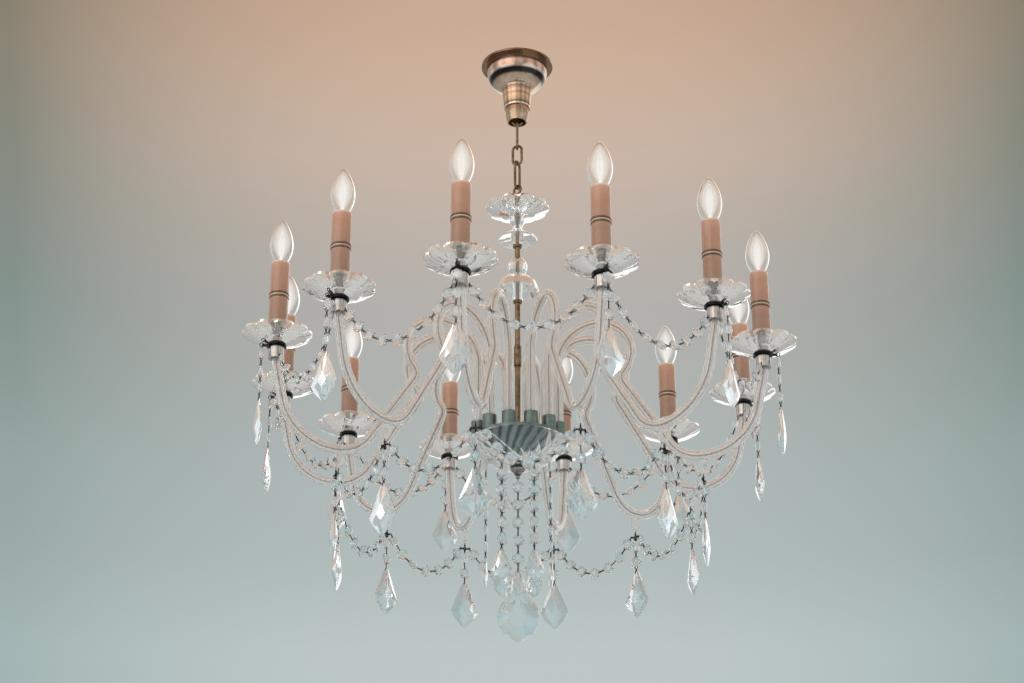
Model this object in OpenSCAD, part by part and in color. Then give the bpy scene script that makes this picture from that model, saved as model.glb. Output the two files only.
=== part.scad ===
// Crystal chandelier with twelve candle arms, hung from the ceiling on a short chain.
// The ceiling face is z = 0 and everything hangs below it, in millimetres.

/* [Frame] */
// Distance from the ceiling down to the level of the arm cups
cup_drop = 528; // [500:1:600]
// Radius of the circle that the arm cups stand on
cup_ring_r = 358; // [345:1:370]
// Angle from the front of the first arm
first_arm_angle = 18; // [0:1:29]

/* [Ceiling fixing] */
// Length of the bracket bar
bracket_length = 84; // [76:1:84]
// Width of the bracket bar
bracket_width = 24; // [20:1:26]
// Thickness of the bracket bar
bracket_thickness = 3; // [2.5:0.5:4]
// Distance between the two ceiling screws
screw_spacing = 64; // [50:1:66]
// Diameter of the ceiling screw holes
screw_hole_d = 5; // [4:0.1:6]
// Diameter of the shank that the canopy loop hangs on
shank_d = 10; // [8:0.5:12]

/* [Canopy] */
// Diameter of the flange that lies against the ceiling
flange_d = 111; // [105:1:130]
// Diameter of the dome below the flange
dome_d = 94; // [94:1:100]
// Diameter of the neck where it leaves the dome
neck_top_d = 47; // [42:1:52]
// Diameter of the neck at its lower end
neck_end_d = 40; // [37:1:42]
// Height of the canopy with its neck
canopy_height = 77; // [70:1:82]
// Thickness of the spun metal
canopy_wall = 1.5; // [1:0.1:2]
// Diameter of the screw collar that holds the canopy up
collar_d = 35; // [33:0.5:36]
// Height of the screw collar
collar_height = 24; // [20:1:25]
// Diameter of the threaded boss inside the collar
boss_d = 25.4; // [24:0.2:27]

/* [Chain] */
// Diameter of the link wire
link_wire_d = 4; // [3:0.1:4.2]
// Outer width of a link
link_width = 18; // [17:0.5:20]
// Outer length of the first and third links
link_long = 50; // [44:1:56]
// Outer length of the middle link
link_short = 36; // [32:1:42]
// Turn from one link to the next
link_turn = 75; // [70:1:90]

/* [Stem] */
// Outside diameter of the stem
stem_d = 8; // [7:0.5:9]
// Bore of the stem
stem_bore_d = 5; // [4:0.5:5]
// Diameter of the top glass dish
top_dish_d = 97; // [80:1:110]
// Diameter of the small glass bell dish
bell_dish_d = 60; // [50:1:66]
// Diameter of the glass ball on the stem
stem_ball_d = 30; // [26:1:34]
// Diameter of the glass bell below the ball
stem_bell_d = 64; // [56:1:70]

/* [Hub] */
// Diameter of the plate that carries the arms
plate_d = 142; // [142:1:150]
// Radius of the circle of arm sockets
socket_ring_r = 60; // [58:1:60]
// Outside diameter of an arm socket
socket_d = 20; // [19:0.5:22]
// Height of an arm socket above the plate
socket_height = 20; // [16:1:24]
// Thickness of the arm plate
plate_thickness = 5; // [4:0.5:6]
// Diameter of the fluted glass bowl under the plate
bowl_d = 146; // [144:1:154]
// Depth of the glass bowl
bowl_depth = 40; // [34:1:46]
// Thickness of the glass bowl
bowl_wall = 4; // [3:0.5:5]

/* [Arms] */
// Outside diameter of the glass tube
arm_d = 14; // [12:0.5:15]
// Bore of the glass tube
arm_bore_d = 9; // [6:0.5:9]
// Height of the loop's top above the cups
loop_top = 75; // [60:1:90]
// Radius of the rising side of the loop
rise_r = 60; // [54:1:66]
// Radius of the outer side of the loop
loop_r = 48; // [42:1:54]
// Angle that the loop turns back below its widest point
loop_wrap = 40; // [30:1:45]
// Radius of the tight curl under the loop
curl_r = 15; // [13:0.5:18]
// Steepness of the straight strand below the curl
strand_angle = 57; // [52:1:60]
// Length of the straight strand
strand_length = 118; // [100:1:122]
// Radius of the inner side of the bow
bow_inner_r = 50; // [45:1:55]
// Radius of the outer side of the bow
bow_outer_r = 87; // [80:1:88]
// Lean of the tube below the cup
arm_lean = 12; // [12:1:18]
// Radius at the middle of the glass eyelet under the bow
eyelet_r = 8.5; // [7.5:0.5:10]
// Thickness of the eyelet's glass
eyelet_d = 5; // [4:0.5:6]
// Diameter of the wire inside each arm
wire_d = 2.5; // [1.5:0.1:3]

/* [Candles] */
// Diameter of the glass dish under each candle
bobeche_d = 100; // [90:1:110]
// Depth of the glass dish
bobeche_depth = 20; // [16:1:24]
// Number of petals round the glass dish
bobeche_petals = 10; // [8:1:12]
// Diameter of the candle sleeve
sleeve_d = 27; // [26.5:0.5:30]
// Length of the candle sleeve
sleeve_length = 92; // [80:1:100]
// Height of the sleeve's lower end above the cup disc
sleeve_lift = 39; // [34:1:44]
// Largest diameter of the candle bulb
bulb_d = 35; // [30:1:37]
// Height of the bulb that shows above the sleeve
bulb_height = 70; // [62:1:76]

/* [Crystals] */
// Diameter of the beads in the garlands
bead_d = 18; // [16:0.5:18.5]
// Thickness of a bead
bead_thickness = 6; // [5:0.5:7]
// Depth of the upper garlands
upper_sag = 60; // [54:1:66]
// Depth of the lower garlands
lower_sag = 47; // [42:1:52]
// Height of a kite drop
drop_height = 70; // [60:1:76]
// Width of a kite drop
drop_width = 44; // [36:1:46]
// Thickness of a kite drop
drop_thickness = 10; // [8:0.5:11]
// Diameter of the beads above the centre drop
centre_bead_d = 18; // [16:0.5:20]
// Height of the large centre drop
centre_drop_height = 102; // [90:1:110]
// Width of the large centre drop
centre_drop_width = 61; // [52:1:66]

/* [Hidden] */
$fn = 48;

arm_count = 12;
arm_step = 360 / arm_count;
// Clearance between parts that slide or thread over each other.
fit = 0.3;
// Gap between neighbouring links and between hooked pieces.
play = 0.3;
overlap = 0.5;

// Ceiling fixing, measured down from the ceiling.
nut_d = 19;
nut_height = 8;
boss_height = 11;
eye_wire_d = link_wire_d;
eye_r = 7.5;
eye_drop = canopy_height + 2 + boss_height - 1.5 + eye_r + eye_wire_d / 2;

// Canopy.
flange_thickness = 3;
dome_top = 10;
dome_centre = 14;
dome_r = dome_d / 2 - dome_centre;
dome_steps = 16;
collar_bore_d = boss_d + 2 * fit;

// Chain: each link's upper wire passes over the wire that it hangs on.
bend_r = (link_width - link_wire_d) / 2;
hook_over = link_wire_d + play;
link_plane = [90, 90 + link_turn, 90 + 2 * link_turn];
stem_eye_plane = 90 + 3 * link_turn;
pivot_1 = eye_drop + eye_r;
bottom_1 = pivot_1 - hook_over + link_long - link_wire_d;
bottom_2 = bottom_1 - hook_over + link_short - link_wire_d;
bottom_3 = bottom_2 - hook_over + link_long - link_wire_d;
stem_eye_r = 7;
stem_eye_drop = bottom_3 - hook_over + stem_eye_r;

// Heights below are measured from the cup level, upwards.
stem_top = cup_drop - stem_eye_drop - stem_eye_r;
stem_collar_d = 13;
stem_collar_height = 3;
stem_sleeve_d = 11;
stem_sleeve_z = 17;
stem_sleeve_height = 31;
stem_foot_d = 16;
stem_foot_height = 8;
stem_solid_end = 20;
top_dish_z = 264;
top_dish_depth = 16;
dish_hub_d = 26;
dish_wall = 4;
bell_z = 214;
bell_height = top_dish_z - bell_z;
lower_collar_z = 122;
stem_bell_height = 45;
ball_height = 23;

plate_z = -98;
socket_bottom = plate_z + 2;
socket_bore_d = arm_d + 2 * fit;
bowl_z = plate_z - plate_thickness;
bowl_r = (pow(bowl_d / 2, 2) + pow(bowl_depth, 2)) / (2 * bowl_depth);
finial_z = bowl_z - bowl_depth;
finial_d = 20;
finial_height = 9;
finial_lug = 6;
stem_seat = 5;
stem_end = finial_z - stem_seat;

// Arm path in its own upright plane: distance from the middle, and height.
loop_x = socket_ring_r + rise_r;
rise_z = loop_top - rise_r;
loop_z = loop_top - loop_r;
curl_c = [loop_x + (loop_r + curl_r) * cos(loop_wrap), loop_z - (loop_r + curl_r) * sin(loop_wrap)];
strand_turn = 270 - strand_angle;
strand_p = curl_c + curl_r * [cos(strand_turn), sin(strand_turn)];
strand_q = strand_p + strand_length * [cos(strand_angle), -sin(strand_angle)];
bow_inner_c = strand_q - bow_inner_r * [cos(strand_turn), sin(strand_turn)];
bow_bottom = bow_inner_c[1] - bow_inner_r;
bow_outer_c = [bow_inner_c[0], bow_bottom + bow_outer_r];
lean_turn = 360 - arm_lean;
lean_p = bow_outer_c + bow_outer_r * [cos(lean_turn), sin(lean_turn)];
lean_r = 50;
lean_length = (cup_ring_r - lean_p[0] - lean_r * (1 - cos(arm_lean))) / sin(arm_lean);
lean_q = lean_p + lean_length * [sin(arm_lean), cos(arm_lean)];
arm_end_c = lean_q - lean_r * [cos(lean_turn), sin(lean_turn)];
arm_top = -6;
arm_joints = [
    [socket_ring_r, rise_z],
    [loop_x, loop_top],
    [loop_x + loop_r * cos(loop_wrap), loop_z - loop_r * sin(loop_wrap)],
    strand_p,
    strand_q,
    [bow_inner_c[0], bow_bottom],
    lean_p,
    lean_q,
    [cup_ring_r, arm_end_c[1]]
];
joint_gap = 0.3;
knuckle_rise = 0.15;

// Cups and candles.
cup_d = 22;
cup_height = 18;
cup_disc_d = 28;
cup_disc = 3;
cup_tube_d = 12;
spigot_d = 10;
spigot_height = 10;
holder_flange = 2;
holder_d = 22;
holder_clear = 6;
wire_room = 20;
cap_d = 13.4;
cap_depth = 22;
bulb_steps = 18;
bulb_wall = 0.8;
bulb_foot = 1;
hook_ring_r = 3;
hook_wire_d = 1.2;
hook_hole_d = 2.4;
hook_reach = 21;
lug_thickness = 1.6;
lug_width = 6;

// Eyelets, junctions and strings.
eyelet_sink = 1.6;
eyelet_x = bow_inner_c[0] + 4;
eyelet_z = bow_bottom - arm_d / 2 + eyelet_sink - eyelet_r - eyelet_d / 2;
junction_drop = 10;
junction_reach = 6.5;
junction_d = 2 * hook_ring_r;
junction_bar = 2.4;
junction_thickness = 1.4;
junction_z = eyelet_z - eyelet_r - eyelet_d / 2 - junction_drop;
bead_edge = 0.12;
pin_d = 1.4;
pin_gap = 0.3;
garland_z = 2 - cup_height;
upper_beads = 9;
lower_beads = 7;
upper_end = cup_d / 2 + 2 * pin_gap;
lower_end = junction_reach + 2 * pin_gap;
bead_space = 6;
upper_bead_space = 8;
pendant_pitch = bead_d + bead_space;
upper_pendant_pitch = bead_d + upper_bead_space;
leaf_extra = 2;
upper_pendant_beads = 3;
lower_pendant_beads = 2;
string_count = 6;
string_ring_r = 46;
string_beads = 6;
string_drop_scale = 0.68;
centre_beads = 5;
centre_pitch = 26.5;

two_digits = [for (k = [1:arm_count]) str(k < 10 ? "0" : "", k)];

// Helpers.

function arm_angle(k) = first_arm_angle - 90 + k * arm_step;
function cosh(x) = (exp(x) + exp(-x)) / 2;
function sinh(x) = (exp(x) - exp(-x)) / 2;
function asinh(x) = ln(x + sqrt(x * x + 1));

// Constant of the hanging curve with half span h and depth d, found by halving.
function hang(h, d, lo, hi, n) =
    n == 0 ? (lo + hi) / 2 :
    let (m = (lo + hi) / 2)
    m * (cosh(h / m) - 1) > d ? hang(h, d, m, hi, n - 1) : hang(h, d, lo, m, n - 1);

// Turns the radial plane of arm k onto x, with z = 0 at the cup level.
module at_arm(k) {
    rotate([0, 0, arm_angle(k)])
        translate([0, 0, -cup_drop])
            children();
}

module at_each_arm() {
    for (k = [0:arm_count - 1])
        at_arm(k) children();
}

module at_cups() {
    at_each_arm() translate([cup_ring_r, 0, 0]) children();
}

module at_level(z) {
    translate([0, 0, z - cup_drop]) children();
}

// Bent piece of rod in the upright plane, round c from angle a to angle b.
module bend(c, r, a, b, d) {
    back = joint_gap / r * 180 / PI;
    translate([c[0], 0, c[1]])
        rotate([90, 0, 0])
            rotate([0, 0, a + back])
                rotate_extrude(angle = b - a - 2 * back)
                    translate([r, 0])
                        circle(d = d);
}

// Straight piece of rod in the upright plane from p, at an angle above the horizontal.
module straight(p, angle, length, d) {
    translate([p[0], 0, p[1]])
        rotate([0, 90 - angle, 0])
            translate([0, 0, joint_gap])
                cylinder(h = length - 2 * joint_gap, d = d);
}

// The slight thickening where two pieces of the drawn tube run into each other.
module knuckle(p, d) {
    translate([p[0], 0, p[1]])
        sphere(d = d + 2 * knuckle_rise);
}

// The path of an arm, used for the glass tube, for its bore and for the wire inside it.
module arm_path(d, bottom, top) {
    straight([socket_ring_r, bottom - joint_gap], 90, rise_z - bottom + joint_gap, d);
    bend([loop_x, rise_z], rise_r, 90, 180, d);
    bend([loop_x, loop_z], loop_r, -loop_wrap, 90, d);
    bend(curl_c, curl_r, 180 - loop_wrap, strand_turn, d);
    straight(strand_p, -strand_angle, strand_length, d);
    bend(bow_inner_c, bow_inner_r, strand_turn, 270, d);
    bend(bow_outer_c, bow_outer_r, 270, lean_turn, d);
    straight(lean_p, 90 - arm_lean, lean_length, d);
    bend(arm_end_c, lean_r, lean_turn, 360, d);
    straight([cup_ring_r, arm_end_c[1]], 90, top - arm_end_c[1] + joint_gap, d);
    for (p = arm_joints)
        knuckle(p, d);
}

// Ring of round wire in the upright plane that stands at the given angle.
module wire_ring(r, wire) {
    rotate([90, 0, 0])
        rotate_extrude()
            translate([r, 0])
                circle(d = wire);
}

// Chain link with its upper wire's centre at the origin, in the xz plane.
module link(length) {
    run = length - link_width;
    for (side = [-1, 1])
        translate([side * bend_r, 0, -bend_r - run])
            cylinder(h = run, d = link_wire_d);
    translate([0, 0, -bend_r])
        rotate([90, 0, 0])
            rotate_extrude(angle = 180)
                translate([bend_r, 0])
                    circle(d = link_wire_d);
    translate([0, 0, -bend_r - run])
        rotate([90, 0, 0])
            rotate([0, 0, 180])
                rotate_extrude(angle = 180)
                    translate([bend_r, 0])
                        circle(d = link_wire_d);
}

// Shallow glass dish with a scalloped rim, standing on z = 0.
module petal_dish(d, hub, hole, depth, wall, petals) {
    notch_r = d * 0.09;
    notch_x = d / 2 + notch_r * 0.72;
    rim = 1;
    difference() {
        rotate_extrude()
            polygon([
                [hole / 2, 0],
                [hub / 2, 0],
                [d / 2, depth - wall],
                [d / 2 - rim, depth],
                [hub / 2 - rim, wall + rim],
                [hole / 2, wall + rim]
            ]);
        for (k = [0:petals - 1])
            rotate([0, 0, (k + 0.5) * 360 / petals])
                translate([notch_x, 0, -1])
                    cylinder(h = depth + 2, r = notch_r);
    }
}

// Cut bead with a flat table on each face, its faces looking along y.
module bead(d, t) {
    table_r = d * 0.3;
    edge = t * bead_edge;
    rotate([90, 0, 0])
        rotate_extrude()
            polygon([
                [0, -t / 2],
                [table_r, -t / 2],
                [d / 2, -edge],
                [d / 2, edge],
                [table_r, t / 2],
                [0, t / 2]
            ]);
}

// Kite-shaped crystal drop that hangs from the origin, its face looking along y.
module kite_drop(h, w, t) {
    intersection() {
        rotate([90, 0, 0])
            linear_extrude(height = 2 * t, center = true)
                polygon([
                    [-w * 0.07, 0],
                    [w * 0.07, 0],
                    [w * 0.22, -h * 0.2],
                    [w * 0.5, -h * 0.64],
                    [w * 0.36, -h * 0.8],
                    [w * 0.06, -h],
                    [-w * 0.06, -h],
                    [-w * 0.36, -h * 0.8],
                    [-w * 0.5, -h * 0.64],
                    [-w * 0.22, -h * 0.2]
                ]);
        rotate([90, 0, 90])
            linear_extrude(height = 2 * w, center = true)
                polygon([
                    [-t * 0.2, 1],
                    [t * 0.2, 1],
                    [t * 0.5, -h * 0.55],
                    [t * 0.5, -h * 0.68],
                    [t * 0.15, -h - 1],
                    [-t * 0.15, -h - 1],
                    [-t * 0.5, -h * 0.68],
                    [-t * 0.5, -h * 0.55]
                ]);
    }
}

// Leaf-shaped crystal with a notched lower edge.
module leaf_drop(h, w, t) {
    half = [
        [0.06, 0], [0.13, -0.1], [0.16, -0.24], [0.3, -0.4], [0.44, -0.52], [0.5, -0.64],
        [0.46, -0.78], [0.38, -0.83], [0.36, -0.89], [0.22, -0.9], [0.18, -0.95], [0.05, -1]
    ];
    last = len(half) - 1;
    outline = concat(
        [for (p = half) [p[0] * w, p[1] * h]],
        [for (i = [0:last]) [-half[last - i][0] * w, half[last - i][1] * h]]
    );
    intersection() {
        rotate([90, 0, 0])
            linear_extrude(height = 2 * t, center = true)
                polygon(outline);
        rotate([90, 0, 90])
            linear_extrude(height = 2 * w, center = true)
                polygon([
                    [-t * 0.22, 1],
                    [t * 0.22, 1],
                    [t * 0.5, -h * 0.5],
                    [t * 0.5, -h * 0.68],
                    [t * 0.14, -h - 1],
                    [-t * 0.14, -h - 1],
                    [-t * 0.5, -h * 0.68],
                    [-t * 0.5, -h * 0.5]
                ]);
    }
}

// Beads in a row downwards from z = 0, with a pin below each. The first bead may be turned.
module bead_row(count, d, t, pitch, first_turn = 0) {
    for (i = [0:count - 1]) {
        translate([0, 0, -d / 2 - i * pitch])
            rotate([0, 0, i == 0 ? first_turn : 0])
                bead(d, t);
        translate([0, 0, pin_gap - (i + 1) * pitch])
            cylinder(h = pitch - d - 2 * pin_gap, d = pin_d);
    }
}

// Swinging string: a hook ring round the origin, then beads, then the drop.
module hung_string(count, d, pitch, first_turn = 0) {
    start = -hook_ring_r - hook_wire_d / 2 - pin_gap;
    rotate([0, 0, 90])
        wire_ring(hook_ring_r, hook_wire_d);
    translate([0, 0, start])
        bead_row(count, d, bead_thickness, pitch, first_turn);
    translate([0, 0, start - count * pitch])
        children();
}

// Garland swags between neighbouring arms at radius r, ending at z.
module garland(r, z, end, sag, count) {
    h = r * sin(arm_step / 2) - end;
    a = hang(h, sag, h / 6, h * 6, 40);
    reach = a * sinh(h / a);
    pitch = 2 * reach / count;
    for (k = [0:arm_count - 1])
        rotate([0, 0, arm_angle(k) + arm_step / 2])
            translate([r * cos(arm_step / 2), 0, z - cup_drop])
                rotate([0, 0, 90]) {
                    for (i = [0:count - 1]) {
                        s = (i + 0.5) * pitch - reach;
                        x = a * asinh(s / a);
                        translate([x, 0, a * (cosh(x / a) - cosh(h / a))])
                            bead(bead_d, bead_thickness);
                    }
                    for (i = [0:count]) {
                        s = i * pitch - reach;
                        x = a * asinh(s / a);
                        inside = i > 0 && i < count;
                        length = (inside ? pitch - bead_d : (pitch - bead_d) / 2) - 2 * pin_gap;
                        shift = inside ? 0 : (i == 0 ? 1 : -1) * (length / 2 + pin_gap);
                        translate([x, 0, a * (cosh(x / a) - cosh(h / a))])
                            rotate([0, 90 - atan(s / a), 0])
                                translate([0, 0, shift - length / 2])
                                    cylinder(h = length, d = pin_d);
                    }
                }
}

// Ceiling fixing and canopy.

module ceiling_bracket() {
    color("silver")
        difference() {
            union() {
                translate([-bracket_length / 2, -bracket_width / 2, -bracket_thickness])
                    cube([bracket_length, bracket_width, bracket_thickness]);
                translate([0, 0, -bracket_thickness - nut_height])
                    cylinder(h = nut_height + overlap, d = nut_d, $fn = 6);
            }
            for (side = [-1, 1])
                translate([side * screw_spacing / 2, 0, -bracket_thickness - 1])
                    cylinder(h = bracket_thickness + 2, d = screw_hole_d);
            translate([0, 0, -bracket_thickness - nut_height - 1])
                cylinder(h = bracket_thickness + nut_height + 2, d = shank_d);
        }
}

module hanging_loop() {
    color("dimgray") {
        translate([0, 0, -canopy_height - 2])
            cylinder(h = canopy_height + 1, d = shank_d);
        translate([0, 0, -canopy_height - 2 - boss_height])
            cylinder(h = boss_height, d = boss_d);
        translate([0, 0, -eye_drop])
            wire_ring(eye_r, eye_wire_d);
    }
}

// Outline of the dome from its rim down to the neck, inset by the given amount.
function dome_line(inset) =
    let (r = dome_r - inset, end = acos((neck_top_d / 2 - dome_centre - inset) / r))
    [for (i = [0:dome_steps])
        [dome_centre + r * cos(i * end / dome_steps), -dome_top - r * sin(i * end / dome_steps)]];

module canopy_cup() {
    inner = dome_line(canopy_wall);
    color("lightgray")
        rotate_extrude()
            polygon(concat(
                [[flange_d / 2, 0], [flange_d / 2, -flange_thickness], [dome_d / 2, -flange_thickness]],
                dome_line(0),
                [
                    [neck_end_d / 2, -canopy_height],
                    [collar_bore_d / 2, -canopy_height],
                    [collar_bore_d / 2, -canopy_height + 2],
                    [neck_end_d / 2 - canopy_wall, -canopy_height + 2]
                ],
                [for (i = [0:dome_steps]) inner[dome_steps - i]],
                [[dome_d / 2 - canopy_wall, 0]]
            ));
}

module canopy_collar() {
    band = 10;
    end_d = collar_bore_d + 4;
    color("dimgray")
        rotate_extrude()
            polygon([
                [collar_bore_d / 2, -canopy_height],
                [collar_d / 2, -canopy_height],
                [collar_d / 2, -canopy_height - band],
                [collar_d / 2 - 0.6, -canopy_height - band - 5],
                [end_d / 2 + 0.8, -canopy_height - collar_height + 4],
                [end_d / 2, -canopy_height - collar_height],
                [collar_bore_d / 2, -canopy_height - collar_height]
            ]);
}

// Chain and stem.

module chain_link_1() {
    color("dimgray")
        translate([0, 0, -pivot_1 + hook_over])
            rotate([0, 0, link_plane[0]])
                link(link_long);
}

module chain_link_2() {
    color("dimgray")
        translate([0, 0, -bottom_1 + hook_over])
            rotate([0, 0, link_plane[1]])
                link(link_short);
}

module chain_link_3() {
    color("dimgray")
        translate([0, 0, -bottom_2 + hook_over])
            rotate([0, 0, link_plane[2]])
                link(link_long);
}

module stem_rod() {
    color("darkgray") {
        translate([0, 0, -stem_eye_drop])
            rotate([0, 0, stem_eye_plane])
                wire_ring(stem_eye_r, link_wire_d);
        at_level(0)
            difference() {
                union() {
                    translate([0, 0, stem_end])
                        cylinder(h = stem_top - stem_end, d = stem_d);
                    for (z = [bell_z, lower_collar_z])
                        translate([0, 0, z - stem_collar_height])
                            cylinder(h = stem_collar_height, d = stem_collar_d);
                    translate([0, 0, stem_sleeve_z])
                        cylinder(h = stem_sleeve_height, d = stem_sleeve_d);
                    translate([0, 0, plate_z])
                        cylinder(h = stem_foot_height, d = stem_foot_d);
                }
                translate([0, 0, stem_end - 1])
                    cylinder(h = stem_top - stem_end + 1 - stem_solid_end, d = stem_bore_d);
            }
    }
}

module top_dish() {
    color("lightcyan")
        at_level(top_dish_z)
            petal_dish(
                top_dish_d,
                dish_hub_d,
                stem_d + 2 * fit,
                top_dish_depth,
                dish_wall,
                bobeche_petals
            );
}

// Bell dish that opens downwards, with the neck that carries the top dish.
module bell_dish() {
    bore = stem_d / 2 + fit;
    neck = stem_d * 0.88;
    rim = bell_dish_d / 2;
    h = bell_height;
    color("lightcyan")
        at_level(bell_z)
            rotate_extrude()
                polygon([
                    [bore, 0],
                    [stem_d, 0],
                    [stem_d * 1.12, h * 0.24],
                    [rim * 0.97, h * 0.16],
                    [rim, h * 0.22],
                    [rim * 0.4, h * 0.44],
                    [neck, h * 0.52],
                    [neck, h * 0.64],
                    [neck * 1.57, h * 0.76],
                    [neck * 1.57, h * 0.94],
                    [stem_d, h],
                    [bore, h]
                ]);
}

// Second bell that opens downwards, drawn up into a ball on its neck.
module stem_ball() {
    bore = stem_d / 2 + fit;
    rim = stem_bell_d / 2;
    h = stem_bell_height;
    ball_r = stem_ball_d / 2;
    rise = asin(ball_height / 2 / ball_r);
    color("lightcyan")
        at_level(lower_collar_z)
            rotate_extrude()
                polygon(concat(
                    [
                        [bore, 0],
                        [stem_d, 0],
                        [stem_d * 1.12, h * 0.84],
                        [rim * 0.42, h * 0.76],
                        [rim * 0.8, h * 0.56],
                        [rim * 0.96, h * 0.33],
                        [rim, h * 0.4],
                        [rim * 0.87, h * 0.66],
                        [rim * 0.5, h * 0.88],
                        [stem_d * 1.12, h]
                    ],
                    [for (a = [-rise:rise / 8:rise])
                        [ball_r * cos(a), h + ball_height / 2 + ball_r * sin(a)]],
                    [[bore, h + ball_height]]
                ));
}

// Hub.

module receiver_plate() {
    color("dimgray")
        difference() {
            union() {
                at_level(plate_z - plate_thickness)
                    cylinder(h = plate_thickness, d = plate_d);
                at_each_arm()
                    translate([socket_ring_r, 0, plate_z - overlap])
                        cylinder(h = socket_height + overlap, d = socket_d);
            }
            at_each_arm() {
                translate([socket_ring_r, 0, socket_bottom])
                    cylinder(h = socket_height + 2, d = socket_bore_d);
                translate([socket_ring_r, 0, plate_z - plate_thickness - 1])
                    cylinder(h = plate_thickness + 4, d = wire_d);
            }
            at_level(plate_z - plate_thickness - 1)
                cylinder(h = plate_thickness + 2, d = stem_d + 2 * fit);
        }
}

module hub_bowl() {
    color("lightsteelblue")
        at_level(bowl_z)
            rotate_extrude()
                difference() {
                    intersection() {
                        translate([0, bowl_r - bowl_depth])
                            circle(r = bowl_r, $fn = 96);
                        translate([stem_d / 2 + fit, -bowl_depth - 1])
                            square([bowl_d, bowl_depth + 1]);
                    }
                    translate([0, bowl_r - bowl_depth])
                        circle(r = bowl_r - bowl_wall, $fn = 96);
                }
}

// Nut on the stem's lower end that holds the bowl up, with the lug for the centre drop.
module hub_finial() {
    top = finial_d / 2;
    lug_z = -finial_height - finial_lug;
    color("dimgray")
        at_level(finial_z)
            difference() {
                union() {
                    rotate_extrude()
                        polygon([
                            [0, 0],
                            [top, 0],
                            [top, -finial_height / 3],
                            [top * 0.6, -finial_height * 2 / 3],
                            [top / 2, -finial_height],
                            [0, -finial_height]
                        ]);
                    translate([-lug_width / 2, -lug_thickness / 2, lug_z])
                        cube([lug_width, lug_thickness, finial_lug + overlap]);
                }
                translate([0, 0, stem_end - finial_z])
                    cylinder(h = stem_seat + 1, d = stem_d);
                translate([0, lug_width, lug_z + hook_ring_r])
                    rotate([90, 0, 0])
                        cylinder(h = 2 * lug_width, d = hook_hole_d);
            }
}

// Arms.

module arm(k) {
    color("mistyrose")
        at_arm(k)
            difference() {
                union() {
                    arm_path(arm_d, socket_bottom, arm_top);
                    translate([eyelet_x, 0, eyelet_z])
                        wire_ring(eyelet_r, eyelet_d);
                }
                arm_path(arm_bore_d, socket_bottom - 1, arm_top + 1);
            }
}

module arm_wires() {
    color("saddlebrown")
        at_each_arm()
            arm_path(wire_d, plate_z - plate_thickness - 6, sleeve_lift);
}

// Candles.

module arm_cups() {
    color("dimgray")
        at_cups() {
            difference() {
                union() {
                    translate([0, 0, -cup_height])
                        cylinder(h = cup_height + overlap, d = cup_d);
                    cylinder(h = cup_disc, d = cup_disc_d);
                    translate([0, -lug_width / 2, 0])
                        cube([hook_reach - hook_ring_r, lug_width, lug_thickness]);
                    translate([hook_reach - hook_ring_r, 0, 0])
                        cylinder(h = lug_thickness, d = lug_width);
                    cylinder(h = sleeve_lift - holder_flange, d = cup_tube_d);
                    cylinder(h = sleeve_lift - holder_flange + spigot_height, d = spigot_d);
                }
                translate([0, 0, -cup_height - 1])
                    cylinder(h = cup_height + arm_top + 1, d = arm_d + 2 * fit);
                translate([0, 0, arm_top - 1])
                    cylinder(h = sleeve_lift + spigot_height, d = wire_d + 2);
                translate([hook_reach - hook_ring_r, 0, -1])
                    cylinder(h = lug_thickness + 2, d = hook_hole_d);
            }
        }
}

module bobeches() {
    color("lightcyan")
        at_cups()
            translate([0, 0, cup_disc])
                petal_dish(
                    bobeche_d,
                    dish_hub_d,
                    cup_tube_d + 2 * fit,
                    bobeche_depth,
                    dish_wall,
                    bobeche_petals
                );
}

module lamp_holders() {
    color("white")
        at_cups()
            translate([0, 0, sleeve_lift])
                difference() {
                    union() {
                        translate([0, 0, -holder_flange])
                            cylinder(h = holder_flange, d = sleeve_d - 1);
                        translate([0, 0, -overlap])
                            cylinder(h = sleeve_length - holder_clear + overlap, d = holder_d);
                    }
                    translate([0, 0, -holder_flange - 1])
                        cylinder(h = spigot_height + 1, d = spigot_d);
                    cylinder(h = wire_room, d = wire_d + 2);
                    translate([0, 0, sleeve_length - cap_depth - 1])
                        cylinder(h = cap_depth + 2, d = cap_d + 2 * fit);
                }
}

module candle_sleeves() {
    wall = 1.2;
    r = sleeve_d / 2;
    ring_z = sleeve_length * 0.43;
    color("peachpuff")
        at_cups()
            translate([0, 0, sleeve_lift])
                rotate_extrude()
                    polygon([
                        [r - wall, 0],
                        [r, 0],
                        [r, ring_z - 4],
                        [r + 0.8, ring_z - 3.5],
                        [r + 0.8, ring_z - 2],
                        [r, ring_z - 1.5],
                        [r, ring_z + 1.5],
                        [r + 0.8, ring_z + 2],
                        [r + 0.8, ring_z + 3.5],
                        [r, ring_z + 4],
                        [r, sleeve_length - 0.5],
                        [r - 0.5, sleeve_length],
                        [r - wall, sleeve_length]
                    ]);
}

// Radius of the bulb glass at a height above the sleeve.
function bulb_radius(z) =
    let (widest = bulb_height * 0.4, neck = bulb_d * 0.26)
    z < widest
        ? bulb_d / 2 - (bulb_d / 2 - neck) * pow((widest - z) / widest, 2)
        : bulb_d / 2 * pow(1 - pow((z - widest) / (bulb_height - widest), 1.7), 0.75);

// Outline of the bulb glass from its neck up to its tip, inset by the given amount.
function bulb_line(inset) =
    let (rise = (bulb_height - bulb_foot - 2 * inset) / bulb_height)
    [for (i = [0:bulb_steps - 1])
        let (z = i * bulb_height / bulb_steps)
        [bulb_radius(z) - inset, bulb_foot + inset + z * rise]];

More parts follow.
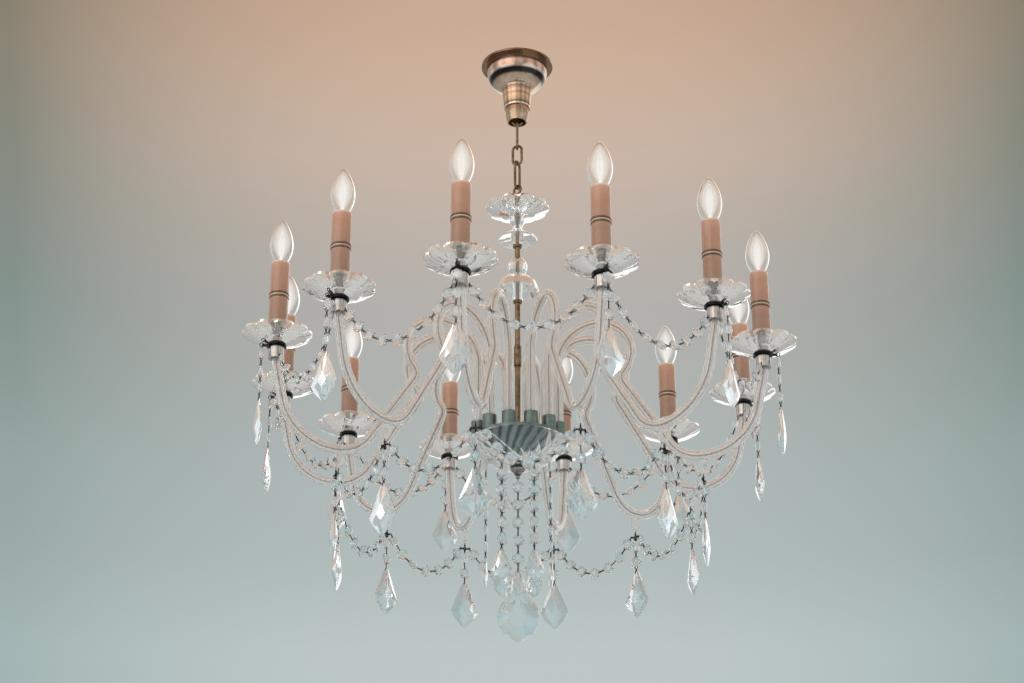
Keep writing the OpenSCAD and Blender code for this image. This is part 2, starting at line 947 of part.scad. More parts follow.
module bulbs() {
    inner = bulb_line(bulb_wall);
    color("lightyellow")
        at_cups()
            translate([0, 0, sleeve_lift + sleeve_length]) {
                rotate_extrude()
                    polygon(concat(
                        [[0, bulb_foot]],
                        bulb_line(0),
                        [[0, bulb_height], [0, bulb_height - bulb_wall]],
                        [for (i = [0:bulb_steps - 1]) inner[bulb_steps - 1 - i]],
                        [[0, bulb_foot + bulb_wall]]
                    ));
                translate([0, 0, bulb_foot - cap_depth])
                    cylinder(h = cap_depth + overlap, d = cap_d);
            }
}

// Crystals.

module upper_garland() {
    color("lavender")
        garland(cup_ring_r, garland_z, upper_end, upper_sag, upper_beads);
}

// Cross-shaped metal junction that hangs from an eyelet, with a hole for the pendant's ring.
module junction() {
    difference() {
        union() {
            rotate([0, 90, 0])
                cylinder(h = junction_thickness, d = junction_d, center = true);
            cube([junction_thickness, 2 * junction_reach, junction_bar], center = true);
            translate([-junction_thickness / 2, -junction_bar / 2, 0])
                cube([junction_thickness, junction_bar, junction_drop - pin_gap]);
        }
        rotate([0, 90, 0])
            cylinder(h = 2 * junction_thickness, d = hook_hole_d, center = true);
    }
}

module lower_garland() {
    color("lavender")
        garland(eyelet_x, junction_z, lower_end, lower_sag, lower_beads);
    color("dimgray")
        at_each_arm()
            translate([eyelet_x, 0, junction_z])
                junction();
}

module upper_pendant(k) {
    color("lavender")
        at_arm(k)
            translate([cup_ring_r + hook_reach, 0, lug_thickness / 2])
                rotate([0, 0, 90])
                    hung_string(upper_pendant_beads, bead_d, upper_pendant_pitch)
                        kite_drop(drop_height, drop_width, drop_thickness);
}

module lower_pendant(k) {
    color("lavender")
        at_arm(k)
            translate([eyelet_x, 0, junction_z - junction_d / 2])
                rotate([0, 0, 90])
                    hung_string(lower_pendant_beads, bead_d, pendant_pitch, 90)
                        kite_drop(drop_height, drop_width, drop_thickness);
}

// Strings that hang on the underside of the bowl.
module hub_strings() {
    s = string_drop_scale;
    bowl_touch_r = string_ring_r - bead_thickness * bead_edge;
    start = bowl_z + bowl_r - bowl_depth - sqrt(pow(bowl_r, 2) - pow(bowl_touch_r, 2));
    color("lavender")
        for (k = [0:string_count - 1])
            rotate([0, 0, k * 360 / string_count])
                translate([string_ring_r, 0, start - pin_gap - cup_drop])
                    rotate([0, 0, 90]) {
                        bead_row(string_beads, bead_d, bead_thickness, pendant_pitch);
                        translate([0, 0, -string_beads * pendant_pitch])
                            kite_drop(drop_height * s, drop_width * s, drop_thickness * s);
                    }
}

module centre_pendant() {
    color("lavender")
        at_level(finial_z - finial_height - finial_lug)
            hung_string(centre_beads, centre_bead_d, centre_pitch)
                leaf_drop(centre_drop_height, centre_drop_width, drop_thickness + leaf_extra);
}

// Assembly.

ceiling_bracket();
hanging_loop();
canopy_cup();
canopy_collar();
chain_link_1();
chain_link_2();
chain_link_3();
stem_rod();
top_dish();
bell_dish();
stem_ball();
receiver_plate();
hub_bowl();
hub_finial();
arm_wires();
arm_cups();
bobeches();
candle_sleeves();
lamp_holders();
bulbs();
upper_garland();
lower_garland();
hub_strings();
centre_pendant();
for (k = [0:arm_count - 1]) {
    arm(k);
    upper_pendant(k);
    lower_pendant(k);
}
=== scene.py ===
import math
import random

import bpy
from mathutils import Matrix, Vector

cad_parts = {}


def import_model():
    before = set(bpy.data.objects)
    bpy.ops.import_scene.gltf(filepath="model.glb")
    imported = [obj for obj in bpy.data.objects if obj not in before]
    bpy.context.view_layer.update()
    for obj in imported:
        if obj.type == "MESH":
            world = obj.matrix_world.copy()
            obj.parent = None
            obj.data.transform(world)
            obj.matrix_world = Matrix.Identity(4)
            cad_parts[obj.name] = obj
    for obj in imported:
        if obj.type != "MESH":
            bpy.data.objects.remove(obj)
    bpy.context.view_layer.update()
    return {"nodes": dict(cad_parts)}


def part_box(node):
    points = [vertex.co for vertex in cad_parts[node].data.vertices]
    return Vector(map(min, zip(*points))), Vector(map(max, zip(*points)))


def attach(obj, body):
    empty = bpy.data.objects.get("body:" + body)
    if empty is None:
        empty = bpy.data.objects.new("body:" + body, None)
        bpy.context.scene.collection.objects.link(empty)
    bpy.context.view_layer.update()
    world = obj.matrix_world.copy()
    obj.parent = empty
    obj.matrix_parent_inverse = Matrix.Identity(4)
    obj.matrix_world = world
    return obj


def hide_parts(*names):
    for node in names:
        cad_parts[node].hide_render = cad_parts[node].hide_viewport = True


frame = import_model()
nodes = frame["nodes"]
scene = bpy.context.scene
rng = random.Random(4548)

MM = 0.001

# Sizes in millimetres. The cups hang at CUP_Z from the ceiling, and other heights start at the cups.

ARMS = 12
STEP = 360 / ARMS
FIRST_ARM = 18
CUP_Z = -528
CUP_R = 358
SLEEVE_Z = 39
SLEEVE_LENGTH = 92
BULB_Z = SLEEVE_Z + SLEEVE_LENGTH
BULB_D = 35
BULB_H = 70
BULB_WALL = 0.7
SOCKET_R = 60
PLATE_Z = -98
BOWL_Z = -103
BOWL_D = 146
BOWL_DEPTH = 40
BOWL_WALL = 4
BOWL_HOLE_R = 4.4
TUBE_R = 7.0
TUBE_BORE_R = 4.5
EYELET_X = 265.88
EYELET_Z = -159.80
EYELET_R = 8.5
EYELET_WIRE = 2.5
DISH_Z = 3
TOP_DISH_Z = 264
UPPER_BELL_Z = 214
LOWER_BELL_Z = 122
STEM_HOLE_R = 4.3
BALL_R = 15
BALL_CENTRE = 56.5
CROSS_Z = -180.8
BEAD_D = 18
BEAD_T = 6
BEAD_SIDES = 8
HOOK_R = 3
HOOK_WIRE = 1.2
HOOK_GAP = 0.3
CUP_HOOK_X = CUP_R + 21
CUP_HOOK_Z = 0.8
CENTRE_HOOK_Z = -158
PITCH = 24
UPPER_PITCH = 26
CENTRE_PITCH = 26.5
DROP_H = 70
DROP_W = 44
DROP_T = 10
SMALL_DROP = 0.68
LEAF_H = 102
LEAF_W = 61
LEAF_T = 12
GIRDLE = 0.06
HUB_STRINGS = 6
HUB_STRING_R = 46
HUB_STRING_BEADS = 6

# Fine noise lies mostly between these two values.

NOISE_LOW = 0.3
NOISE_HIGH = 0.7


# Colours and nodes.

def srgb(red, green, blue):
    """A display colour from 0 to 255 as the scene's linear colour."""
    def linear(value):
        value = value / 255
        return value / 12.92 if value <= 0.04045 else ((value + 0.055) / 1.055) ** 2.4
    return (linear(red), linear(green), linear(blue), 1.0)


class Tree:
    """Adds and links the nodes of one material or world."""

    def __init__(self, owner):
        owner.use_nodes = True
        self.tree = owner.node_tree
        self.tree.nodes.clear()
        self.point = None

    def add(self, kind, sets=None, **props):
        node = self.tree.nodes.new(kind)
        for key, value in props.items():
            setattr(node, key, value)
        for key, value in (sets or {}).items():
            node.inputs[key].default_value = value
        return node

    def link(self, start, end):
        self.tree.links.new(start, end)

    def feed(self, value, socket):
        """Sets the socket to a plain value, or links another node to it."""
        if isinstance(value, (int, float, tuple)):
            socket.default_value = value
        else:
            self.link(value, socket)

    def place(self):
        """The point on the part in metres."""
        if self.point is None:
            self.point = self.add("ShaderNodeTexCoord").outputs["Object"]
        return self.point

    def split(self, vector):
        node = self.add("ShaderNodeSeparateXYZ")
        self.link(vector, node.inputs[0])
        return node.outputs

    def math(self, operation, first, second=None, clamp=False):
        node = self.add("ShaderNodeMath", operation=operation, use_clamp=clamp)
        self.feed(first, node.inputs[0])
        if second is not None:
            self.feed(second, node.inputs[1])
        return node.outputs[0]

    def ramp(self, factor, stops):
        node = self.add("ShaderNodeValToRGB")
        elements = node.color_ramp.elements
        while len(elements) > 1:
            elements.remove(elements[-1])
        elements[0].position = stops[0][0]
        elements[0].color = stops[0][1]
        for position, colour in stops[1:]:
            elements.new(position).color = colour
        self.link(factor, node.inputs["Fac"])
        return node.outputs["Color"]

    def noise(self, scale, detail=3.0, rough=0.5):
        node = self.add("ShaderNodeTexNoise", {"Scale": scale, "Detail": detail, "Roughness": rough})
        self.link(self.place(), node.inputs["Vector"])
        return node.outputs["Fac"]

    def remap(self, value, low, high, to_low, to_high):
        node = self.add("ShaderNodeMapRange", {
            "From Min": low, "From Max": high, "To Min": to_low, "To Max": to_high,
        })
        self.link(value, node.inputs["Value"])
        return node.outputs[0]

    def height(self, low, high):
        """0 at the height low and 1 at the height high, in millimetres from the cups."""
        z = self.split(self.place())["Z"]
        return self.remap(z, (low + CUP_Z) * MM, (high + CUP_Z) * MM, 0.0, 1.0)

    def around(self, twist):
        """Angle round the middle axis, turned on by twist radians for each metre outwards."""
        x, y, _ = self.split(self.place())
        angle = self.math("ARCTAN2", x, y)
        squares = self.math("ADD", self.math("MULTIPLY", x, x), self.math("MULTIPLY", y, y))
        return self.math("ADD", angle, self.math("MULTIPLY", self.math("SQRT", squares), twist))

    def bump(self, height, strength, distance):
        node = self.add("ShaderNodeBump", {"Strength": strength, "Distance": distance})
        self.link(height, node.inputs["Height"])
        return node.outputs["Normal"]

    def mix(self, kind, factor, first, second):
        node = self.add("ShaderNodeMix", data_type="RGBA", blend_type=kind)
        self.feed(factor, node.inputs["Factor"])
        sockets = [s for s in node.inputs if s.type == "RGBA"]
        self.feed(first, sockets[0])
        self.feed(second, sockets[1])
        return [s for s in node.outputs if s.type == "RGBA"][0]

    def blend(self, factor, first, second):
        """Mixes two shaders: the first at 0 and the second at 1."""
        node = self.add("ShaderNodeMixShader")
        self.feed(factor, node.inputs[0])
        self.link(first.outputs[0], node.inputs[1])
        self.link(second.outputs[0], node.inputs[2])
        return node

    def dress(self, shader, colour, uneven, rough, bumps, strength, depth):
        """Gives a shader its colour, a roughness between the two of rough, and a fine bump."""
        self.link(colour, shader.inputs["Base Color"])
        self.link(self.remap(uneven, NOISE_LOW, NOISE_HIGH, *rough), shader.inputs["Roughness"])
        self.link(self.bump(bumps, strength, depth), shader.inputs["Normal"])

    def show(self, shader, kind="ShaderNodeOutputMaterial"):
        output = self.add(kind)
        self.link(shader.outputs[0], output.inputs["Surface"])


def new_material(name):
    material = bpy.data.materials.new(name)
    return material, Tree(material)


def metal(name, dark, light, rough, scale=90, wear=0.25, grain=0.15):
    """Metal whose tone, roughness and surface vary with fine noise."""
    material, tree = new_material(name)
    shader = tree.add("ShaderNodeBsdfPrincipled", {"Metallic": 1.0})
    broad = tree.noise(scale, 4.0, 0.6)
    fine = tree.noise(scale * 9, 3.0, 0.6)
    tone = tree.ramp(broad, [(0.5 - wear, dark), (0.5 + wear, light)])
    tree.dress(shader, tone, broad, (rough * 0.65, rough * 1.5), fine, grain, 0.0004)
    tree.show(shader)
    return material


def glass(
    name, tint, deep, rough, ior, scale, wave, shade=0.12,
    levels=None, streaks=None, clear=1.0, painted_glint_tint=None,
):
    """Clear glass with a slightly uneven tint, roughness and surface. Lamps shine through it.

    shade is the part of a lamp's light that it keeps back, levels paints light into the tint by height
    (warmer near the candles, cooler lower down), streaks = (count, twist, dark) draws flutes round the
    middle axis, clear under 1 makes it a little milky, and blush is a third tint beside the uneven two that
    paints pink glints in place of the coloured fire of dispersion.
    """
    material, tree = new_material(name)
    shader = tree.add("ShaderNodeBsdfPrincipled", {"Transmission Weight": clear, "IOR": ior})
    broad = tree.noise(scale, 2.0, 0.5)
    two_tints = [(0.3, deep), (0.62, tint)]
    # The third tint is a painted glint: pink patches in place of the fire of dispersion.
    three_tints = [(0.36, deep), (0.5, tint), (0.64, painted_glint_tint)]
    body = tree.ramp(broad, three_tints if painted_glint_tint else two_tints)
    # Painted light by height: a warmer tint near the candles and a cooler one lower down.
    if levels:
        low, high = levels[0][0], levels[-1][0]
        stops = [((z - low) / (high - low), colour) for z, colour in levels]
        body = tree.mix("MULTIPLY", 1.0, body, tree.ramp(tree.height(low, high), stops))
    if streaks:
        count, twist, dark = streaks
        wave_round = tree.math("SINE", tree.math("MULTIPLY", tree.around(twist), count))
        lines = tree.remap(wave_round, -1.0, 1.0, 0.0, 1.0)
        flutes = tree.ramp(lines, [(0.15, dark), (0.55, (0.9, 0.95, 0.95, 1)), (0.9, (1, 1, 1, 1))])
        body = tree.mix("MULTIPLY", 1.0, body, flutes)
    uneven, bumps = tree.noise(scale * 6), tree.noise(scale * 1.7)
    tree.dress(shader, body, uneven, (rough * 0.4, rough * 1.8), bumps, wave, 0.001)
    clear_view = tree.add("ShaderNodeBsdfTransparent")
    tree.link(tree.ramp(broad, two_tints), clear_view.inputs["Color"])
    path = tree.add("ShaderNodeLightPath")
    soft = tree.math("MAXIMUM", path.outputs["Is Shadow Ray"], path.outputs["Is Diffuse Ray"])
    tree.show(tree.blend(tree.math("MULTIPLY", soft, 1 - shade), shader, clear_view))
    return material


def glow(name, colour, strength, share, scale=400):
    """Light in the air of the bulb. share under 1 lets part of the view through."""
    material, tree = new_material(name)
    light = tree.add("ShaderNodeEmission", {"Strength": strength})
    tone = tree.ramp(tree.noise(scale), [(NOISE_LOW, colour), (NOISE_HIGH, (1.0, 0.98, 0.94, 1.0))])
    tree.link(tone, light.inputs["Color"])
    if share < 1:
        light = tree.blend(share, tree.add("ShaderNodeBsdfTransparent"), light)
    tree.show(light)
    return material


def plain(name, dark, light, rough, scale=120):
    """Moulded plastic or wire sheath with a fine unevenness."""
    material, tree = new_material(name)
    shader = tree.add("ShaderNodeBsdfPrincipled")
    tone = tree.ramp(tree.noise(scale, 4.0), [(NOISE_LOW, dark), (NOISE_HIGH, light)])
    uneven, bumps = tree.noise(scale * 3), tree.noise(scale * 8)
    tree.dress(shader, tone, uneven, (rough * 0.7, rough * 1.3), bumps, 0.08, 0.0003)
    tree.show(shader)
    return material


def banded(name, low, high, stops, cloud, rough, bumps, sets):
    """Material with bands by height from low to high and a light cloud over them.

    cloud = (scale, darkest), rough = (scale, low, high) and bumps = (scale, strength, depth).
    """
    material, tree = new_material(name)
    shader = tree.add("ShaderNodeBsdfPrincipled", sets)
    bands = tree.ramp(tree.height(low, high), stops)
    spots = tree.ramp(tree.noise(cloud[0], 4.0, 0.6), [(NOISE_LOW, cloud[1]), (NOISE_HIGH, (1, 1, 1, 1))])
    body = tree.mix("MULTIPLY", 1.0, bands, spots)
    tree.dress(shader, body, tree.noise(rough[0]), rough[1:], tree.noise(bumps[0]), *bumps[1:])
    tree.show(shader)
    return material


def cup_metal():
    """The arm cup by height: bright cylinder, near-black disc and dark candle tube."""
    stops = [
        (0.0, srgb(206, 200, 194)), (0.24, srgb(196, 190, 184)), (0.29, srgb(44, 42, 42)),
        (0.355, srgb(30, 30, 30)), (0.37, srgb(92, 84, 76)), (1.0, srgb(120, 104, 90)),
    ]
    return banded(
        "arm_cup_metal", -18, 42, stops, (160, (0.72, 0.72, 0.72, 1)), (90, 0.12, 0.32),
        (900, 0.08, 0.0003), {"Metallic": 1.0},
    )


def candle_peach():
    """Peach candle sleeve with a darker band and a fine bright ring a little under its middle, painted shade
    below the band, painted light from the bulb growing towards the top and a painted highlight on the top
    rim.
    """
    # Painted light: low is painted shade below the band, high is painted light from the bulb near the top.
    low, body, high = srgb(178, 134, 108), srgb(190, 140, 112), srgb(206, 150, 120)
    brown, dark = srgb(104, 72, 54), srgb(84, 58, 44)
    stops = [
        (0.0, low), (0.30, low), (0.375, body), (0.385, brown), (0.415, dark),
        (0.424, srgb(226, 186, 138)), (0.436, srgb(238, 206, 162)), (0.445, dark), (0.472, brown),
        # Painted light growing from the band towards the top, then a painted highlight on the top rim.
        (0.482, body), (0.85, high), (0.96, srgb(218, 164, 134)), (0.985, srgb(246, 216, 194)),
        (1.0, srgb(255, 238, 220)),
    ]
    sets = {
        "Subsurface Weight": 0.18, "Subsurface Scale": 0.006, "Subsurface Radius": (1.0, 0.55, 0.35),
        "Sheen Weight": 1.0, "Sheen Roughness": 0.25, "Sheen Tint": srgb(255, 214, 186),
        "Coat Weight": 0.8, "Coat Roughness": 0.14,
    }
    return banded(
        "candle_peach", SLEEVE_Z, SLEEVE_Z + SLEEVE_LENGTH, stops, (55, (0.88, 0.86, 0.85, 1)),
        (200, 0.32, 0.52), (700, 0.08, 0.0004), sets,
    )


def canopy_chrome():
    """Spun chrome with the reflections of a warm room painted on: bands by height from the neck's end up to
    the ceiling.
    """
    # These bands are painted reflections and painted shade, from the neck's end (0) up to the ceiling (1).
    stops = [
        (0.0, srgb(226, 196, 170)), (0.03, srgb(236, 210, 186)), (0.05, srgb(92, 78, 68)),
        (0.10, srgb(196, 160, 132)), (0.20, srgb(222, 184, 150)), (0.26, srgb(176, 142, 116)),
        (0.30, srgb(224, 186, 154)), (0.40, srgb(150, 122, 102)), (0.48, srgb(232, 212, 192)),
        (0.56, srgb(196, 176, 158)), (0.59, srgb(60, 58, 54)), (0.66, srgb(46, 42, 40)),
        (0.70, srgb(222, 206, 196)), (0.76, srgb(214, 166, 142)), (0.82, srgb(214, 176, 156)),
        (0.875, srgb(70, 60, 54)), (0.93, srgb(206, 182, 164)), (0.97, srgb(150, 118, 94)),
        (1.0, srgb(104, 82, 66)),
    ]
    return banded(
        "canopy_chrome", 451, 528, stops, (45, (0.78, 0.75, 0.73, 1)), (70, 0.12, 0.26),
        (500, 0.05, 0.0003), {"Metallic": 1.0},
    )


LOOKS = {
    "steel": metal("bracket_steel", srgb(150, 150, 148), srgb(196, 196, 192), 0.35),
    "collar": metal("collar_bronze", srgb(120, 98, 80), srgb(212, 182, 154), 0.26, grain=0.1),
    "nickel": metal("dark_nickel", srgb(88, 86, 84), srgb(176, 172, 168), 0.2, 120, 0.3, 0.1),
    "brass": metal("aged_brass", srgb(74, 60, 46), srgb(160, 132, 102), 0.34, 110, 0.22, 0.25),
    "socket": metal("socket_metal", srgb(82, 96, 92), srgb(142, 158, 152), 0.38, 80, 0.3, 0.15),
    "black_pin": metal("dark_pin", srgb(18, 18, 20), srgb(72, 70, 70), 0.34, 300, 0.3, 0.1),
    "crystal": glass(
        "cut_crystal", (0.985, 0.995, 1.0, 1.0), (0.87, 0.945, 0.985, 1.0),
        # The pink third tint paints glints in place of the fire of dispersion.
        rough=0.015, ior=1.53, scale=45, wave=0.03, clear=0.86, painted_glint_tint=(1.0, 0.94, 0.93, 1.0),
        # Painted light and reflection by height: warm near the candles, bluish and darker lower down.
        levels=[
            (-390, (0.86, 0.93, 0.935, 1)), (-200, (0.89, 0.955, 0.965, 1)), (-20, (1.0, 0.985, 0.975, 1)),
        ],
    ),
    "arm": glass(
        "arm_glass", (1.0, 0.995, 0.99, 1.0), (0.985, 0.98, 0.97, 1.0),
        rough=0.02, ior=1.38, scale=30, wave=0.03, clear=0.84,
        # Painted candle light: the arms get warmer towards the top.
        levels=[(-160, (0.985, 0.99, 0.99, 1)), (-60, (1.0, 0.985, 0.975, 1)), (70, (1.0, 0.965, 0.94, 1))],
    ),
    "dish": glass(
        "dish_glass", (1.0, 0.99, 0.98, 1.0), (0.96, 0.95, 0.94, 1.0),
        rough=0.03, ior=1.48, scale=40, wave=0.06, clear=0.92,
    ),
    "smoky": glass(
        "smoky_glass", (0.74, 0.84, 0.85, 1.0), (0.60, 0.71, 0.73, 1.0),
        rough=0.05, ior=1.42, scale=50, wave=0.08, shade=0.4, clear=0.78,
        streaks=(30, 9.0, (0.30, 0.38, 0.40, 1)),
    ),
    "bulb": glass(
        "bulb_glass", (1.0, 1.0, 1.0, 1.0), (0.99, 0.988, 0.985, 1.0),
        rough=0.01, ior=1.1, scale=50, wave=0.02, shade=0.02,
    ),
    "filament": glow("filament_glow", (1.0, 0.95, 0.88, 1.0), 0.97, 1.0),
    "glow_1": glow("inner_glow", (1.0, 0.97, 0.93, 1.0), 0.92, 0.42),
    "glow_2": glow("middle_glow", (1.0, 0.93, 0.87, 1.0), 0.9, 0.26),
    "glow_3": glow("outer_glow", (1.0, 0.88, 0.78, 1.0), 0.88, 0.2),
    "chrome": canopy_chrome(),
    "cup": cup_metal(),
    "sleeve": candle_peach(),
    "holder": plain("holder_plastic", srgb(222, 214, 200), srgb(244, 240, 230), 0.4),
    "wire": plain("wire_sheath", srgb(92, 62, 44), srgb(148, 108, 84), 0.35, 300),
}


# Meshes, in millimetres.

class Shape:
    """Points and faces gathered in millimetres, made into one object at the end."""

    def __init__(self):
        self.verts = []
        self.faces = []

    def add(self, verts, faces, matrix):
        base = len(self.verts)
        self.verts.extend(matrix @ Vector(v) for v in verts)
        self.faces.extend([base + i for i in f] for f in faces)

    def make(self, name, look, slot, smooth=False, replaces=(), body="chandelier"):
        mesh = bpy.data.meshes.new(name)
        mesh.from_pydata([v * MM for v in self.verts], [], self.faces)
        mesh.validate()
        mesh.update()
        if smooth:
            mesh.polygons.foreach_set("use_smooth", [True] * len(mesh.polygons))
        mesh.materials.append(LOOKS[look])
        o = bpy.data.objects.new(name, mesh)
        scene.collection.objects.link(o)
        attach(o, body)
        if replaces:
            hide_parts(*replaces)


def turn(degrees, axis="Z"):
    return Matrix.Rotation(math.radians(degrees), 4, axis)


def move(x, y, z):
    return Matrix.Translation((x, y, z))


def arm_angle(k):
    return FIRST_ARM - 90 + k * STEP


def at_arm(k):
    """The frame of arm k: x outwards, z = 0 at the cups."""
    return turn(arm_angle(k)) @ move(0, 0, CUP_Z)


def skin(rings, loop=False):
    """Quads between rings of equal size, closed to a loop or with a face at each end."""
    n = len(rings[0])
    count = len(rings)
    verts = [p for r in rings for p in r]
    faces = []
    for i in range(count if loop else count - 1):
        a, b = i * n, ((i + 1) % count) * n
        for j in range(n):
            k = (j + 1) % n
            faces.append([a + j, a + k, b + k, b + j])
    if not loop:
        faces.append(list(range(n))[::-1])
        faces.append([(count - 1) * n + j for j in range(n)])
    return verts, faces


def revolve(profile, n, shift=None):
    """Skin of a closed profile of (radius, height) turned round z.

    shift(i, a, r, z) may give the profile's point i at the angle a another radius, height and angle.
    """
    rings = []
    for j in range(n):
        a = 2 * math.pi * j / n
        line = []
        for i, (r, z) in enumerate(profile):
            r2, z2, a2 = shift(i, a, r, z) if shift else (r, z, a)
            line.append((r2 * math.cos(a2), r2 * math.sin(a2), z2))
        rings.append(line)
    return skin(rings, loop=True)


def torus(r, wire, around, across):
    """Ring round the y axis."""
    rings = []
    for i in range(around):
        a = 2 * math.pi * i / around
        circle = []
        for j in range(across):
            b = 2 * math.pi * j / across
            out = r + wire * math.cos(b)
            circle.append((out * math.cos(a), wire * math.sin(b), out * math.sin(a)))
        rings.append(circle)
    return skin(rings, loop=True)


def rod(points, radius, around):
    """Round wire through the given points, with one radius or one for each point."""
    rings = []
    pts = [Vector(p) for p in points]
    up = Vector((0, 1, 0))
    for i, p in enumerate(pts):
        d = (pts[min(i + 1, len(pts) - 1)] - pts[max(i - 1, 0)]).normalized()
        if abs(d.dot(up)) > 0.95:
            up = Vector((1, 0, 0))
        side = d.cross(up).normalized()
        up = side.cross(d).normalized()
        r = radius[i] if isinstance(radius, list) else radius
        turns = [2 * math.pi * j / around for j in range(around)]
        rings.append([p + r * (math.cos(a) * side + math.sin(a) * up) for a in turns])
    return skin(rings)


def bead_ring(r, y, half_turned):
    step = 2 * math.pi / BEAD_SIDES
    shift = 0.5 if half_turned else 0.0
    angles = [(j + shift) * step for j in range(BEAD_SIDES)]
    return [(r * math.cos(a), y, r * math.sin(a)) for a in angles]


def cut_bead():
    """Octagon with a table and two rows of facets on each face."""
    n = BEAD_SIDES
    r = BEAD_D / 2
    face = [(r * 0.40, BEAD_T * 0.5, False), (r * 0.74, BEAD_T * 0.30, True), (r, BEAD_T * 0.06, False)]
    rings = [bead_ring(size, -y, half) for size, y, half in face]
    rings += [bead_ring(size, y, half) for size, y, half in reversed(face)]
    verts = [p for q in rings for p in q]
    faces = [list(range(n))]

    def facets(a, b, half_on_b):
        for j in range(n):
            k = (j + 1) % n
            if half_on_b:
                faces.append([a + j, b + j, a + k])
                faces.append([a + k, b + j, b + k])
            else:
                faces.append([a + j, b + j, b + k])
                faces.append([a + j, b + k, a + k])

    facets(0, n, True)
    facets(n, 2 * n, False)
    for j in range(n):
        k = (j + 1) % n
        faces.append([2 * n + j, 3 * n + j, 3 * n + k, 2 * n + k])
    facets(3 * n, 4 * n, True)
    facets(4 * n, 5 * n, False)
    faces.append([5 * n + j for j in range(n)][::-1])
    return verts, faces


def cut_drop(outline, centre_z, t, scales):
    """Flat crystal of the given outline: a girdle, a row of facets and a raised table on each face."""
    n = len(outline)

    def scaled(points, s, y):
        return [(x * s, y, centre_z + (z - centre_z) * s) for x, z in points]

    ends = outline[1:] + outline[:1]
    middles = [((p[0] + q[0]) / 2, (p[1] + q[1]) / 2) for p, q in zip(outline, ends)]
    (s1, y1), (s2, y2) = scales
    verts = []
    for side in (-1, 1):
        verts += scaled(outline, 1, side * t * GIRDLE)
        verts += scaled(middles, s1, side * t * y1)
        verts += scaled(outline, s2, side * t * y2)
    faces = []
    for back, a in ((False, 0), (True, 3 * n)):
        b, c = a + n, a + 2 * n
        made = []
        for j in range(n):
            k = (j + 1) % n
            made += [
                [a + j, a + k, b + j], [a + k, b + k, b + j],
                [b + j, b + k, c + k], [b + j, c + k, c + j],
            ]
        made.append([c + j for j in range(n)])
        faces.extend(f[::-1] if back else f for f in made)
    for j in range(n):
        k = (j + 1) % n
        faces.append([j, 3 * n + j, 3 * n + k, k])
    return verts, faces


# Half outlines of the drops, as shares of their width and height.

KITE_HALF = [(0.07, 0), (0.22, -0.2), (0.5, -0.64), (0.36, -0.8), (0.06, -1)]
LEAF_HALF = [
    (0.06, 0), (0.13, -0.1), (0.16, -0.24), (0.3, -0.4), (0.44, -0.52), (0.5, -0.64),
    (0.46, -0.78), (0.38, -0.83), (0.36, -0.89), (0.22, -0.9), (0.18, -0.95), (0.05, -1),
]


def outline_of(half, w, h):
    right = [(x * w, z * h) for x, z in half]
    left = [(-x * w, z * h) for x, z in reversed(half)]
    return right + left


def kite(size=1):
    h, w, t = DROP_H * size, DROP_W * size, DROP_T * size
    return cut_drop(outline_of(KITE_HALF, w, h), -h * 0.6, t, ((0.74, 0.28), (0.30, 0.5)))


def leaf():
    outline = outline_of(LEAF_HALF, LEAF_W, LEAF_H)
    return cut_drop(outline, -LEAF_H * 0.62, LEAF_T, ((0.80, 0.24), (0.42, 0.5)))


def add_pin(shape, matrix, length):
    """Bow-tie pin along x between two beads: a twisted waist and a bent loop over each bead's face."""
    h = length / 2
    over = 2.4
    wire = 0.62
    points = [
        (-h - over, 0, 1.2), (-h - over * 0.4, 0, 1.6), (-h * 0.5, 0, 0.8), (0, 0, 0.15),
        (h * 0.5, 0, -0.8), (h + over * 0.4, 0, -1.6), (h + over, 0, -1.2),
    ]
    waist = [(-1.6, 0, 0), (-0.6, 0, 0), (0.6, 0, 0), (1.6, 0, 0)]
    shape.add(*rod(points, wire, 6), matrix)
    shape.add(*rod([(x, y, -z) for x, y, z in points], wire, 6), matrix)
    shape.add(*rod(waist, [0.5, 1.0, 1.0, 0.5], 6), matrix)


BEAD = cut_bead()
KITE = kite()
SMALL_KITE = kite(SMALL_DROP)


# The arms: sizes of the middle line's arcs in millimetres and degrees.

LOOP_X = 120
LOOP_TOP = 75
RISE_R = 60
LOOP_R = 48
WRAP = 40
CURL_R = 15
STRAND = 57
STRAND_LENGTH = 118
BOW_INNER = 50
BOW_OUTER = 87
LEAN = 12
LEAN_R = 50


def on(c, r, degrees):
    return (c[0] + r * math.cos(math.radians(degrees)), c[1] + r * math.sin(math.radians(degrees)))


def arc(c, r, a, b, step=5.0):
    n = max(2, int(abs(b - a) / step))
    return [on(c, r, a + (b - a) * i / n) for i in range(n + 1)]


